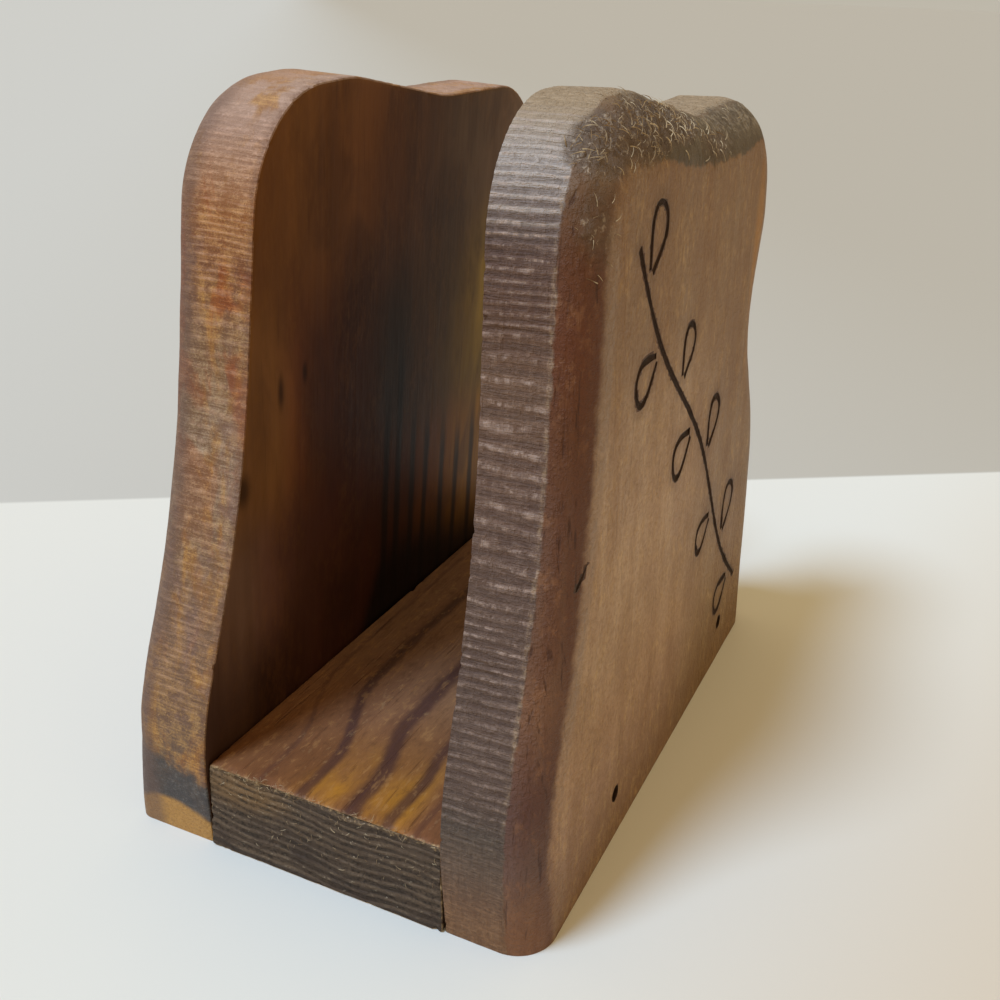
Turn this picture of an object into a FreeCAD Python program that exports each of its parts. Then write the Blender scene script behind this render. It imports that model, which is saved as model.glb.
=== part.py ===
import FreeCAD, Part
import math
import os
import Sketcher
from FreeCAD import Placement, Rotation, Vector

# Napkin holder of three pine boards: a base board with a bandsawn side board
# nailed to each of its long edges. Millimetres, +Z up, +Y towards the back.
# The origin is on the floor, in the middle of the holder.

# Driving sizes. Each one becomes a cell of the sheet, with its name as alias.
SIZES = {
    "board_thickness": 19,     # both side boards
    "base_thickness": 20,
    "gap_at_floor": 52.7,      # between the inner faces, measured on the floor
    "side_height": 145,        # corner of the front hump above the floor
    "side_front": 74.8,        # middle to the front of a side board's foot
    "side_rear": 73.7,         # middle to the back of it
    "base_front": 73.2,        # middle to the sawn front end of the base
    "base_rear": 73.4,         # middle to its back end
    "base_eased_edge": 0.8,    # worn edge round the two ends of the base
    "lean_angle": 2,           # degrees that each side board leans inwards
    "side_roundover": 8,       # rounded outer edge of a side board
    "nail_front": 33.5,        # front nail, in front of the middle
    "nail_rear": 45,           # rear nail, behind the middle
    "nail_height": 10.5,       # up the board from the floor
    "nail_length": 38,
    "nail_shank": 2.2,         # diameter
    "nail_head": 3.4,          # diameter
    "nail_head_length": 2.4,   # head and its tapered neck
    "nail_head_rim": 1.6,      # straight part of the head
    "nail_point": 3.5,         # length of the point
    "nail_set": 1.6,           # how far the head is punched below the face
    "nail_clearance": 0.05,    # between a nail and its hole, on the radius
}

# Corners of the side board's outline, from the toe at the front over the two humps
# of the top to the heel. Each is set back from one end of the foot, is so far above
# the floor or below the top, and is rounded to a radius.
CORNERS = {
    "toe": ("front", 2.4, "floor", 0, None),
    "front_foot": ("front", 0, "floor", 25.5, 55),
    "front_sweep": ("front", 15.5, "floor", 72.5, 220),
    "front_shoulder": ("front", 21.1, "top", 2.5, 23),
    "front_crown": ("front", 56, "top", 0, 90),
    "saddle": ("rear", 53.3, "top", 6.6, 32),
    "rear_shoulder": ("rear", 13.2, "top", 4.8, 21),
    "rear_bulge": ("rear", 8.5, "top", 32.6, 18),
    "rear_waist": ("rear", 19.4, "top", 55.5, 19),
    "rear_sweep": ("rear", 2.9, "top", 84.6, 50),
    "rear_foot": ("rear", 0.4, "floor", 31.7, 44),
    "heel": ("rear", 0, "floor", 0, None),
}

# How the Sketcher numbers the points of a curve and its own axes.
START_INDEX, END_INDEX, CENTRE_INDEX = 1, 2, 3
H_AXIS_INDEX, V_AXIS_INDEX = -1, -2

RIGHT, LEFT = 1, -1        # which way a side board faces along X
TOUCH = 1e-4               # two places closer than this are one

doc = FreeCAD.newDocument("napkin_holder")


def fill_sheet():
    """Write the driving sizes and the outline's corners to the sheet."""
    sheet = doc.addObject("Spreadsheet::Sheet", "Sizes")
    cells = dict(SIZES)
    for name, (_, setback, _, rise, radius) in CORNERS.items():
        cells[name + "_setback"] = setback
        cells[name + "_rise"] = rise
        if radius is not None:
            cells[name + "_radius"] = radius
    for row, (name, value) in enumerate(cells.items(), start=1):
        sheet.set(f"A{row}", name)
        sheet.set(f"B{row}", str(value))
        sheet.setAlias(f"B{row}", name)
    doc.recompute()


def new_body(name):
    body = doc.addObject("PartDesign::Body", name)
    body.Label = name
    return body


def new_sketch(body, name, plane):
    """A sketch on one of the body's origin planes."""
    sketch = body.newObject("Sketcher::SketchObject", name)
    face = next(f for f in body.Origin.OriginFeatures if f.Role == plane)
    sketch.AttachmentSupport = (face, "")
    sketch.MapMode = "FlatFace"
    return sketch


def bind_point(sketch, curve, point, across, up, near=Vector(1, 1, 0)):
    """Tie a point to the sheet by its two distances from the origin.

    The distances are expressions, and near is where the solver starts from.
    """
    if across == "0":
        sketch.addConstraint(Sketcher.Constraint("PointOnObject", curve, point, V_AXIS_INDEX))
    else:
        index = sketch.addConstraint(
            Sketcher.Constraint("DistanceX", H_AXIS_INDEX, START_INDEX, curve, point, near.x))
        sketch.setExpression(f"Constraints[{index}]", across)
    if up == "0":
        sketch.addConstraint(Sketcher.Constraint("PointOnObject", curve, point, H_AXIS_INDEX))
    else:
        index = sketch.addConstraint(
            Sketcher.Constraint("DistanceY", H_AXIS_INDEX, START_INDEX, curve, point, near.y))
        sketch.setExpression(f"Constraints[{index}]", up)


def polygon(sketch, corners):
    """A closed polygon whose corners are pairs of expressions."""
    count = len(corners)
    rough = [Vector(corner, corner * (count - corner), 0) for corner in range(count)]
    lines = [
        sketch.addGeometry(Part.LineSegment(rough[i], rough[(i + 1) % count]), False)
        for i in range(count)
    ]
    for line, following in zip(lines, lines[1:] + lines[:1]):
        sketch.addConstraint(Sketcher.Constraint(
            "Coincident", line, END_INDEX, following, START_INDEX))
    for line, (across, up) in zip(lines, corners):
        bind_point(sketch, line, START_INDEX, across, up)


def circles(sketch, radius, centres):
    """Circles of one radius, given as an expression, at bound centres."""
    for across, up in centres:
        circle = sketch.addGeometry(Part.Circle(Vector(1, 1, 0), Vector(0, 0, 1), 1), False)
        index = sketch.addConstraint(Sketcher.Constraint("Radius", circle, 1.0))
        sketch.setExpression(f"Constraints[{index}]", radius)
        bind_point(sketch, circle, CENTRE_INDEX, across, up)


def cut(body, name, sketch, reverse, depth=None):
    """Pocket a sketch into the body, through it when no depth is given."""
    doc.recompute()
    before = body.Shape.Volume
    pocket = body.newObject("PartDesign::Pocket", name)
    pocket.Profile = sketch
    pocket.Reversed = reverse
    if depth is None:
        pocket.Type = "ThroughAll"
    else:
        pocket.Type = "Length"
        pocket.setExpression("Length", depth)
    sketch.Visibility = False
    doc.recompute()
    if pocket.Shape.Volume >= before:
        raise ValueError(f"{name} cuts nothing")


NAIL_CENTRES = (
    ("-Sizes.nail_front", "Sizes.nail_height"),
    ("Sizes.nail_rear", "Sizes.nail_height"),
)
HEAD_HOLE = "Sizes.nail_head / 2 + Sizes.nail_clearance"
SHANK_HOLE = "Sizes.nail_shank / 2 + Sizes.nail_clearance"


def lean(item, facing):
    """Stand a side board on the floor line of its inner face, leaning inwards."""
    item.Placement = Placement(Vector(facing, 0, 0), Rotation(Vector(0, -facing, 0), 1))
    item.setExpression("Placement.Base.x", f"{facing} * Sizes.gap_at_floor / 2")
    item.setExpression("Placement.Rotation.Angle", "Sizes.lean_angle")


def corner_place(name):
    """A corner's place as numbers and as expressions on the sheet."""
    end, setback, level, rise, _ = CORNERS[name]
    if end == "front":
        depth, across = setback - SIZES["side_front"], f"Sizes.{name}_setback - Sizes.side_front"
    else:
        depth, across = SIZES["side_rear"] - setback, f"Sizes.side_rear - Sizes.{name}_setback"
    if level == "top":
        height, up = SIZES["side_height"] - rise, f"Sizes.side_height - Sizes.{name}_rise"
    else:
        height, up = rise, f"Sizes.{name}_rise"
    return Vector(depth, height, 0), across, "0" if rise == 0 and level == "floor" else up


def rounding(before, corner, after, radius):
    """The arc that rounds a corner, and which of its ends comes first."""
    back, ahead = (before - corner).normalize(), (after - corner).normalize()
    half = back.getAngle(ahead) / 2
    centre = corner + (back + ahead).normalize() * (radius / math.sin(half))
    first = corner + back * (radius / math.tan(half)) - centre
    last = corner + ahead * (radius / math.tan(half)) - centre
    angles = [math.atan2(first.y, first.x), math.atan2(last.y, last.x)]
    turns_left = back.cross(ahead).z < 0
    if not turns_left:
        angles.reverse()
    arc = Part.ArcOfCircle(Part.Circle(centre, Vector(0, 0, 1), radius), *angles)
    ends = (START_INDEX, END_INDEX) if turns_left else (END_INDEX, START_INDEX)
    return arc, centre + first, centre + last, ends


def board_outline(sketch):
    """The sawn outline: straight runs joined by tangent arcs, and the flat foot."""
    names = list(CORNERS)
    places = [corner_place(name)[0] for name in names]
    rounded = [
        rounding(before, corner, after, CORNERS[name][-1])
        for before, corner, after, name in zip(places, places[1:], places[2:], names[1:])
    ]
    starts = [places[0]] + [last for _, _, last, _ in rounded]
    ends = [first for _, first, _, _ in rounded] + [places[-1]]
    lines = [sketch.addGeometry(Part.LineSegment(*run), False) for run in zip(starts, ends)]
    for name, before, after, (arc, _, _, order) in zip(names[1:], lines, lines[1:], rounded):
        curve = sketch.addGeometry(arc, False)
        sketch.addConstraint(Sketcher.Constraint(
            "Tangent", before, END_INDEX, curve, order[0]))
        sketch.addConstraint(Sketcher.Constraint(
            "Tangent", curve, order[1], after, START_INDEX))
        index = sketch.addConstraint(Sketcher.Constraint("Radius", curve, CORNERS[name][-1]))
        sketch.setExpression(f"Constraints[{index}]", f"Sizes.{name}_radius")
        place, across, up = corner_place(name)
        corner = sketch.addGeometry(Part.Point(place), True)
        for line in (before, after):
            sketch.addConstraint(Sketcher.Constraint(
                "PointOnObject", corner, START_INDEX, line))
        bind_point(sketch, corner, START_INDEX, across, up, place)
    for name, line, point in (("toe", lines[0], START_INDEX), ("heel", lines[-1], END_INDEX)):
        place, across, up = corner_place(name)
        bind_point(sketch, line, point, across, up, place)
    foot = sketch.addGeometry(Part.LineSegment(places[-1], places[0]), False)
    sketch.addConstraint(Sketcher.Constraint(
        "Coincident", lines[-1], END_INDEX, foot, START_INDEX))
    sketch.addConstraint(Sketcher.Constraint(
        "Coincident", foot, END_INDEX, lines[0], START_INDEX))


def outer_rim(blank):
    """Names of the sawn outline's edges on the outer face, without the foot's."""
    far = max(abs(vertex.X) for vertex in blank.Shape.Vertexes)
    names = []
    for number, edge in enumerate(blank.Shape.Edges, start=1):
        on_outer_face = all(abs(abs(vertex.X) - far) < TOUCH for vertex in edge.Vertexes)
        on_floor = all(abs(vertex.Z) < TOUCH for vertex in edge.Vertexes)
        if on_outer_face and not on_floor:
            names.append(f"Edge{number}")
    return names


def side_board(name, facing):
    """A side board: sawn to the outline, rounded over outside, bored for nails."""
    body = new_body(name)
    outline = new_sketch(body, name + "_outline", "YZ_Plane")
    board_outline(outline)
    blank = body.newObject("PartDesign::Pad", name + "_blank")
    blank.Profile = outline
    blank.Reversed = facing == LEFT
    blank.setExpression("Length", "Sizes.board_thickness")
    doc.recompute()

    roundover = body.newObject("PartDesign::Fillet", name + "_roundover")
    roundover.Base = (blank, outer_rim(blank))
    roundover.setExpression("Radius", "Sizes.side_roundover")

    set_holes = new_sketch(body, name + "_set_holes", "YZ_Plane")
    set_holes.setExpression("AttachmentOffset.Base.z", f"{facing} * Sizes.board_thickness")
    circles(set_holes, HEAD_HOLE, NAIL_CENTRES)
    cut(body, name + "_set_cut", set_holes, facing == LEFT,
        "Sizes.nail_set + Sizes.nail_head_length")

    shank_holes = new_sketch(body, name + "_shank_holes", "YZ_Plane")
    shank_holes.setExpression("AttachmentOffset.Base.z", f"{facing} * Sizes.board_thickness")
    circles(shank_holes, SHANK_HOLE, NAIL_CENTRES)
    cut(body, name + "_shank_cut", shank_holes, facing == LEFT)
    lean(body, facing)
    return body


def end_edges(plank):
    """Names of the level edges that run across the two ends of the base."""
    return [
        f"Edge{number}" for number, edge in enumerate(plank.Shape.Edges, start=1)
        if abs(edge.tangentAt(edge.FirstParameter).x) > 0.99
    ]


def base_board():
    """The base: its long edges are bevelled so that the sides sit flat on them."""
    body = new_body("base_board")
    section = new_sketch(body, "base_section", "XZ_Plane")
    section.setExpression("AttachmentOffset.Base.z", "Sizes.base_front")
    half_top = "Sizes.gap_at_floor / 2 - Sizes.base_thickness * tan(Sizes.lean_angle * 1deg)"
    polygon(section, (
        ("-Sizes.gap_at_floor / 2", "0"),
        ("Sizes.gap_at_floor / 2", "0"),
        (half_top, "Sizes.base_thickness"),
        (f"-({half_top})", "Sizes.base_thickness"),
    ))
    plank = body.newObject("PartDesign::Pad", "base_plank")
    plank.Profile = section
    plank.Reversed = True
    plank.setExpression("Length", "Sizes.base_front + Sizes.base_rear")
    doc.recompute()

    eased = body.newObject("PartDesign::Fillet", "base_eased_ends")
    eased.Base = (plank, end_edges(plank))
    eased.setExpression("Radius", "Sizes.base_eased_edge")

    for name, facing in (("right", RIGHT), ("left", LEFT)):
        pilots = new_sketch(body, f"base_{name}_pilots", "YZ_Plane")
        pilots.AttachmentOffset = Placement(
            Vector(0, 0, facing), Rotation(Vector(-facing, 0, 0), 1))
        pilots.setExpression("AttachmentOffset.Base.z", f"{facing} * Sizes.gap_at_floor / 2")
        pilots.setExpression("AttachmentOffset.Rotation.Angle", "Sizes.lean_angle")
        circles(pilots, SHANK_HOLE, NAIL_CENTRES)
        cut(body, f"base_{name}_pilot_holes", pilots, facing == LEFT,
            "Sizes.nail_set + Sizes.nail_length + Sizes.nail_clearance - Sizes.board_thickness")
    return body


def nail(name, facing, depth):
    """A finishing nail, turned about its own axis and punched below the face."""
    body = new_body(name)
    profile = new_sketch(body, name + "_profile", "XY_Plane")
    turn = 0 if facing == RIGHT else 180
    profile.AttachmentOffset = Placement(Vector(0, 0, 0), Rotation(Vector(0, 0, 1), turn))
    profile.setExpression(
        "AttachmentOffset.Base.x", f"{facing} * (Sizes.board_thickness - Sizes.nail_set)")
    profile.setExpression("AttachmentOffset.Base.y", depth)
    profile.setExpression("AttachmentOffset.Base.z", "Sizes.nail_height")
    polygon(profile, (
        ("0", "0"),
        ("0", "Sizes.nail_head / 2"),
        ("-Sizes.nail_head_rim", "Sizes.nail_head / 2"),
        ("-Sizes.nail_head_length", "Sizes.nail_shank / 2"),
        ("Sizes.nail_point - Sizes.nail_length", "Sizes.nail_shank / 2"),
        ("-Sizes.nail_length", "0"),
    ))
    turned = body.newObject("PartDesign::Revolution", name + "_turned")
    turned.Profile = profile
    turned.ReferenceAxis = (profile, ["H_Axis"])
    turned.Angle = 360
    lean(body, facing)
    return body


def export(bodies):
    """Check every object and write one STEP file for each sub-part."""
    for item in doc.Objects:
        if {"Invalid", "Error"} & set(item.State):
            raise ValueError(f"{item.Name} failed: {item.State}")
    for body in bodies:
        shape = body.Shape
        if shape.isNull() or not shape.isValid() or len(shape.Solids) != 1:
            raise ValueError(f"{body.Label} is not one valid solid")
    os.makedirs("parts", exist_ok=True)
    for body in bodies:
        body.Shape.exportStep(f"parts/{body.Label}.step")
        box = body.Shape.BoundBox
        print(f"{body.Label}: {body.Shape.Volume:.0f} mm3, "
              f"x {box.XMin:.1f} to {box.XMax:.1f}, y {box.YMin:.1f} to {box.YMax:.1f}, "
              f"z {box.ZMin:.1f} to {box.ZMax:.1f}")


fill_sheet()
parts = [base_board()]
for side, facing in (("left", LEFT), ("right", RIGHT)):
    parts.append(side_board(side + "_side", facing))
    for place, (depth, _) in zip(("front", "rear"), NAIL_CENTRES):
        parts.append(nail(f"nail_{side}_{place}", facing, depth))
doc.recompute()
export(parts)
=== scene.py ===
from functools import partialmethod
from math import acos, atan2, cos, pi, radians, sin, tan

import bmesh
import bpy
import numpy as np
from mathutils import Matrix, Vector
from mathutils.kdtree import KDTree
from numpy.linalg import norm


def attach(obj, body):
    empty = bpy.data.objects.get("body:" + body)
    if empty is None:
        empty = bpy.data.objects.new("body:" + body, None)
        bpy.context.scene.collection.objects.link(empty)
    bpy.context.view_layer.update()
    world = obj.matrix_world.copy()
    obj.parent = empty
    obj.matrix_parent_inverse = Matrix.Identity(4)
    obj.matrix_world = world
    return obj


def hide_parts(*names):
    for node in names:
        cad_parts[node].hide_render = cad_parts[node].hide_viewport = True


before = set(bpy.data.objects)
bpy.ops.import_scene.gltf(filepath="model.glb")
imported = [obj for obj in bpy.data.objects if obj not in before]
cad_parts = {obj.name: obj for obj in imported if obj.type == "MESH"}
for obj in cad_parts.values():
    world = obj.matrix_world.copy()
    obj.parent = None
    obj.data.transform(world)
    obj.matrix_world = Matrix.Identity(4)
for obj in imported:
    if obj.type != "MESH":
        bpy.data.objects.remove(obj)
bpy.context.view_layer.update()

# --------------------
# Right side board. A pine board with its grain upright, bandsawn to a wavy outline,
# rounded over along its outer edge, scorched and oiled. It is nailed to the base and
# leans in a little. The saw left ridges on its front and frayed the ends of its grain.

MM = 0.001
IN_MM = (1000,) * 3
BOARD = 19.0                     # millimetres, as every length up to the finished meshes
HALF_GAP = 26.35
LEAN = radians(2)
RIGHT, LEFT = 1, -1

# Depth, height and radius of each corner of the saw cut. Both boards have the same front
# and rear; the humps of their tops came out a little different.
FRONT_CUT = ((-72.4, 0, 0), (-74.8, 25.5, 55), (-59.3, 72.5, 220))
RIGHT_HUMPS = ((-54.3, 144.4, 23), (-25.9, 145.4, 50), (14.9, 138.4, 32), (61.3, 140.6, 22.5))
REAR_CUT = ((65.2, 112.4, 18), (54.3, 89.5, 19), (70.8, 60.4, 50), (73.3, 31.7, 44), (73.7, 0, 0))
FRONT_SHOULDER, REAR_SHOULDER = 3, 6
UPRIGHT_STEPS, TOP_STEPS, COARSER = 396, 258, 3
FLAT_STEPS, ROUND_STEPS, CORNER_POINTS = 20, 14, 25
SMOOTH_FOOT = 22.0               # below it the sawn edge is smooth
LEVEL_FOOT, LEVEL_INSET = 15, 20    # heights over which the foot and its inset turn level
HUMP_DEPTHS, HUMP_HEIGHTS = (-50, -28), (95, 118)    # where the humps' round-over sets in
ARC = 0.8                        # length of the round-over for its depth and reach
WANDERS, WANDER = 60, 0.28       # unevenness of the round-over along the cut
SAME_PLACE = 0.0005 * MM
ARRIS = 0.45                     # worn inner arris of a side board
RIM = 0.9                        # fine strip round the flat faces
OIL_RICHNESS, OIL_LIGHTNESS = 1.10, 1.16


class Tone:
    """A value in a node tree. Arithmetic on it adds nodes to the tree."""

    def __init__(self, tree, socket):
        self.tree, self.socket = tree, socket

    def maths(self, operation, *others):
        return add(self.tree, "ShaderNodeMath", (self, *others), operation=operation)

    def vector_maths(self, operation, *others, output=0):
        return add(self.tree, "ShaderNodeVectorMath", (self, *others), output, operation=operation)

    __add__ = partialmethod(maths, "ADD")
    __sub__ = partialmethod(maths, "SUBTRACT")
    __mul__ = partialmethod(maths, "MULTIPLY")
    __truediv__ = partialmethod(maths, "DIVIDE")
    times = partialmethod(vector_maths, "MULTIPLY")

    def away(self):
        """One minus the value."""
        return add(self.tree, "ShaderNodeMath", (1.0, self), operation="SUBTRACT")

    def rise(self, low, high):
        """0 below low, 1 above high, and smooth between them."""
        return add(self.tree, "ShaderNodeMapRange",
            {"Value": self, "From Min": low, "From Max": high},
            interpolation_type="SMOOTHSTEP")

    def fall(self, low, high):
        return self.rise(low, high).away()

    def line(self, centre, half, soft):
        """1 on a line where the value is at the centre, 0 beside it."""
        return (self - centre).maths("ABSOLUTE").fall(half, half + soft)

    def parts(self):
        first = add(self.tree, "ShaderNodeSeparateXYZ", (self,))
        return [Tone(self.tree, output) for output in first.socket.node.outputs]

    def noise(self, size, detail=3.0, roughness=0.5, warp=0.0, seed=0.0):
        """Noise over a vector, with features of about that size."""
        scale = 1 / size if isinstance(size, (int, float)) else size
        return add(self.tree, "ShaderNodeTexNoise",
            {"Vector": self, "W": seed, "Scale": scale, "Detail": detail,
             "Roughness": roughness, "Distortion": warp}, noise_dimensions="4D")


def feed(made, feeds):
    """Links or sets the inputs of a node, found by their names or numbers."""
    for key, value in feeds.items():
        if isinstance(value, Tone):
            value.tree.links.new(value.socket, made.inputs[key])
        else:
            made.inputs[key].default_value = value


def add(tree, kind, feeds=(), output=0, **settings):
    """Adds a node to a tree, sets it up, feeds its inputs and gives one of its outputs."""
    made = tree.nodes.new(kind)
    for name, value in settings.items():
        setattr(made, name, value)
    feed(made, feeds if isinstance(feeds, dict) else dict(enumerate(feeds)))
    return Tone(tree, made.outputs[output])


def new_tree(name, kind, inputs, outputs):
    """A node group with named sockets, Float unless told: its inputs and its output node."""
    tree = bpy.data.node_groups.new(name, kind)
    for direction, sockets in (("INPUT", inputs), ("OUTPUT", outputs)):
        for label, _, sort in (socket.partition(": ") for socket in sockets.split(", ")):
            tree.interface.new_socket(label, in_out=direction,
                socket_type="NodeSocket" + (sort or "Float"))
    given = tree.nodes.new("NodeGroupInput").outputs
    return tree, [Tone(tree, output) for output in given if output.name], \
        tree.nodes.new("NodeGroupOutput")


def joined(x, y, z):
    """A vector from three values."""
    return add(x.tree, "ShaderNodeCombineXYZ", (x, y, z))


def saw_crests(along, girth, pitch, seed):
    """The crests that the saw blade left: 1 on a crest and 0 in the hollow between.

    They lie closer together below 66 mm and above 112 mm along the cut.
    """
    place = joined(along, girth, 0)
    drift = place.times((0.05, 0.02, 0)).noise(1, 1, 0.5, 0, seed)
    quiver = place.times((1, 0.3, 0)).noise(3.2, 3, 0.6, 0, seed)
    closer = (along - 112).maths("MAXIMUM", 0) * 0.9 - (along * -1 + 66).maths("MAXIMUM", 0) * 0.74
    phase = (along + closer) / pitch + drift * 2.4 + quiver * 0.8
    return ((phase * (2 * pi)).maths("SINE") * 0.5 + 0.5).maths("POWER", 2.2)


def kept(tree, name, sort="FLOAT"):
    """An attribute of the mesh, in Geometry Nodes."""
    return add(tree, "GeometryNodeInputNamedAttribute", {"Name": name}, data_type=sort)


def position(tree):
    """The place on the mesh in millimetres, in Geometry Nodes."""
    return add(tree, "GeometryNodeInputPosition").times(IN_MM)


def painted(geometry, material, **chosen):
    """Geometry with its material set, everywhere or where it is chosen."""
    return add(geometry.tree, "GeometryNodeSetMaterial",
        {"Geometry": geometry, "Material": material, **chosen})


def realized(geometry):
    return add(geometry.tree, "GeometryNodeRealizeInstances", (geometry,))


def weathering_tree():
    """Geometry Nodes that press saw ridges, raised grain, fray and chips into a board."""
    tree, given, result = new_tree(
        "weathered_pine", "GeometryNodeTree",
        "Board: Geometry, Grain: Vector, Ridge Pitch, Ridge Depth, Smooth Foot, Grain Depth, "
        "Fray Depth, Chip Depth, Seed, Outside: Material, Inside: Material", "Board: Geometry")
    board, grain_way, pitch, ridge_depth, foot, grain_depth, *given = given
    fray_depth, chip_depth, seed, outside, inside = given
    place = position(tree)
    along, girth, _ = kept(tree, "run", "FLOAT_VECTOR").parts()
    frayed = kept(tree, "frayed")
    sawn = girth.rise(0, 0.6) * girth.fall(11.4, 13.4) * along.rise(foot, foot + 8)
    crests = saw_crests(along, girth, pitch, seed)
    strength = joined(along, girth, 0).noise(11, 2, 0.5, 0, seed).rise(0.34, 0.66)
    ridges = crests.away() * sawn * (strength * 0.7 + 0.3) * ridge_depth
    calm = place.noise(22, 2, 0.5, 0, seed).rise(0.35, 0.65)
    lines = place.times(grain_way).noise(5.5, 3, 0.6, 0.6, seed).rise(0.35, 0.7)
    grain = lines * (calm * 0.7 + 0.3) * grain_depth * frayed.away()
    tufts = place.noise(1.3, 3, 0.7, 0.8, seed).rise(0.3, 0.7)
    hollows = place.noise(6, 2, 0.5, 0.4, seed).rise(0.3, 0.75)
    fray = (tufts * 0.75 + hollows * 0.6) * frayed * fray_depth
    near_arris = girth.maths("ABSOLUTE").fall(0.3, 2)
    chips = place.noise(2.6, 2, 0.6, 0, seed).rise(0.56, 0.74) * near_arris * chip_depth
    skin = place.noise(1.6, 3, 0.65, 0, seed) * 0.10
    sunk = (ridges + grain + fray + chips + skin) * -MM
    shift = add(tree, "ShaderNodeVectorMath",
        {0: add(tree, "GeometryNodeInputNormal"), "Scale": sunk}, operation="SCALE")
    moved = add(tree, "GeometryNodeSetPosition", {"Geometry": board, "Offset": shift})
    within = add(tree, "FunctionNodeCompare", {0: girth, 1: 0.0}, data_type="FLOAT",
        operation="LESS_THAN")
    feed(result, {"Board": painted(painted(realized(moved), outside), inside, Selection=within)})
    return tree


def stroke_tree():
    """Geometry Nodes that turn drawn lines into rods, thicker here and thinner there."""
    tree, (lines, radius, uneven, material), result = new_tree(
        "rods_along_lines", "GeometryNodeTree",
        "Lines: Geometry, Radius, Uneven, Material: Material", "Rods: Geometry")
    swell = (position(tree).noise(5, 2, 0.5, 0, 41) - 0.5) * uneven + 1
    curve = add(tree, "GeometryNodeMeshToCurve", {"Mesh": lines})
    circle = add(tree, "GeometryNodeCurvePrimitiveCircle", {"Resolution": 10, "Radius": radius})
    rods = add(tree, "GeometryNodeCurveToMesh",
        {"Curve": curve, "Profile Curve": circle, "Scale": swell, "Fill Caps": True})
    feed(result, {"Rods": painted(realized(rods), material)})
    return tree


def fibre_tree():
    """Geometry Nodes that scatter torn fibres where a board is frayed."""
    tree, (board, thickly, length, seed, material), result = new_tree(
        "torn_fibres", "GeometryNodeTree",
        "Board: Geometry, Per Square Metre, Length, Seed: Int, Material: Material",
        "Fibres: Geometry")
    points = add(tree, "GeometryNodeDistributePointsOnFaces",
        {"Mesh": board, "Density": kept(tree, "frayed").rise(0.15, 1) * thickly, "Seed": seed})
    bend = add(tree, "GeometryNodeCurvePrimitiveBezierSegment",
        {"Resolution": 4, "Start": (0, -0.10, -0.1), "Start Handle": (0.12, 0.10, 0.25),
         "End Handle": (0.2, 0.06, 0.6), "End": (0.4, -0.10, 0.9)})
    circle = add(tree, "GeometryNodeCurvePrimitiveCircle", {"Resolution": 3, "Radius": 0.055})
    taper = add(tree, "GeometryNodeSplineParameter", output="Factor") * -0.8 + 1.0
    sliver = add(tree, "GeometryNodeCurveToMesh",
        {"Curve": bend, "Profile Curve": circle, "Scale": taper, "Fill Caps": True})
    turn = add(tree, "FunctionNodeRandomValue",
        {"Min": Vector((1.3, -0.3, 0.0)), "Max": Vector((1.62, 0.3, 2 * pi)), "Seed": seed},
        data_type="FLOAT_VECTOR")
    turned = add(tree, "FunctionNodeRotateRotation",
        (Tone(tree, points.socket.node.outputs["Rotation"]),
         add(tree, "FunctionNodeEulerToRotation", (turn,))), rotation_space="LOCAL")
    share = add(tree, "FunctionNodeRandomValue", {2: 0.3, 3: 1.0, "Seed": seed}, 1,
        data_type="FLOAT")
    placed = add(tree, "GeometryNodeInstanceOnPoints",
        {"Points": points, "Instance": sliver, "Rotation": turned, "Scale": share * length})
    feed(result, {"Fibres": painted(realized(placed), material)})
    return tree


def grow(thing, tree, **values):
    """Puts a Geometry Nodes tree on an object with its named inputs set."""
    modifier = thing.modifiers.new(tree.name, "NODES")
    modifier.node_group = tree
    for item in tree.interface.items_tree:
        key = item.name.lower().replace(" ", "_")
        if item.in_out == "INPUT" and key in values:
            modifier[item.identifier] = values[key]


def cut_away(thing, cutter):
    """Subtracts a cutter from an object; the cut takes the cutter's material."""
    modifier = thing.modifiers.new(cutter.name, "BOOLEAN")
    modifier.operation = "DIFFERENCE"
    modifier.solver = "MANIFOLD"
    modifier.material_mode = "TRANSFER"
    modifier.object = cutter


def finish_mesh(thing, angle=40):
    """Turns an object with modifiers into one plain mesh, and drops its cutters."""
    bpy.context.view_layer.update()
    seen = thing.evaluated_get(bpy.context.evaluated_depsgraph_get())
    mesh = bpy.data.meshes.new_from_object(seen)
    for modifier in list(thing.modifiers):
        if modifier.type == "BOOLEAN":
            bpy.data.objects.remove(modifier.object)
    thing.modifiers.clear()
    thing.data = mesh
    mesh.shade_smooth()
    mesh.set_sharp_from_angle(angle=radians(angle))
    return thing


def rounded_cut(corners):
    """The saw's path with its corners rounded, as close points."""
    path = [np.array(corners[0][:2], float)]
    for before, here, after in zip(corners, corners[1:], corners[2:]):
        corner = np.array(here[:2], float)
        back = np.array(before[:2]) - corner
        ahead = np.array(after[:2]) - corner
        back /= norm(back)
        ahead /= norm(ahead)
        half = acos(float(back @ ahead)) / 2
        middle = back + ahead
        centre = corner + middle / norm(middle) * here[2] / sin(half)
        first = corner + back * here[2] / tan(half) - centre
        last = corner + ahead * here[2] / tan(half) - centre
        start = atan2(first[1], first[0])
        turn = (atan2(last[1], last[0]) - start + pi) % (2 * pi) - pi
        for share in np.linspace(0, 1, CORNER_POINTS):
            angle = start + turn * share
            path.append(centre + here[2] * np.array((cos(angle), sin(angle))))
    path.append(np.array(corners[-1][:2], float))
    return np.array(path)


def evenly(path, steps):
    """The same path, as points the same distance apart."""
    run = np.r_[0, np.cumsum(norm(np.diff(path, axis=0), axis=1))]
    wanted = np.linspace(0, run[-1], steps + 1)
    return np.stack([np.interp(wanted, run, path[:, axis]) for axis in (0, 1)], axis=1)


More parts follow.
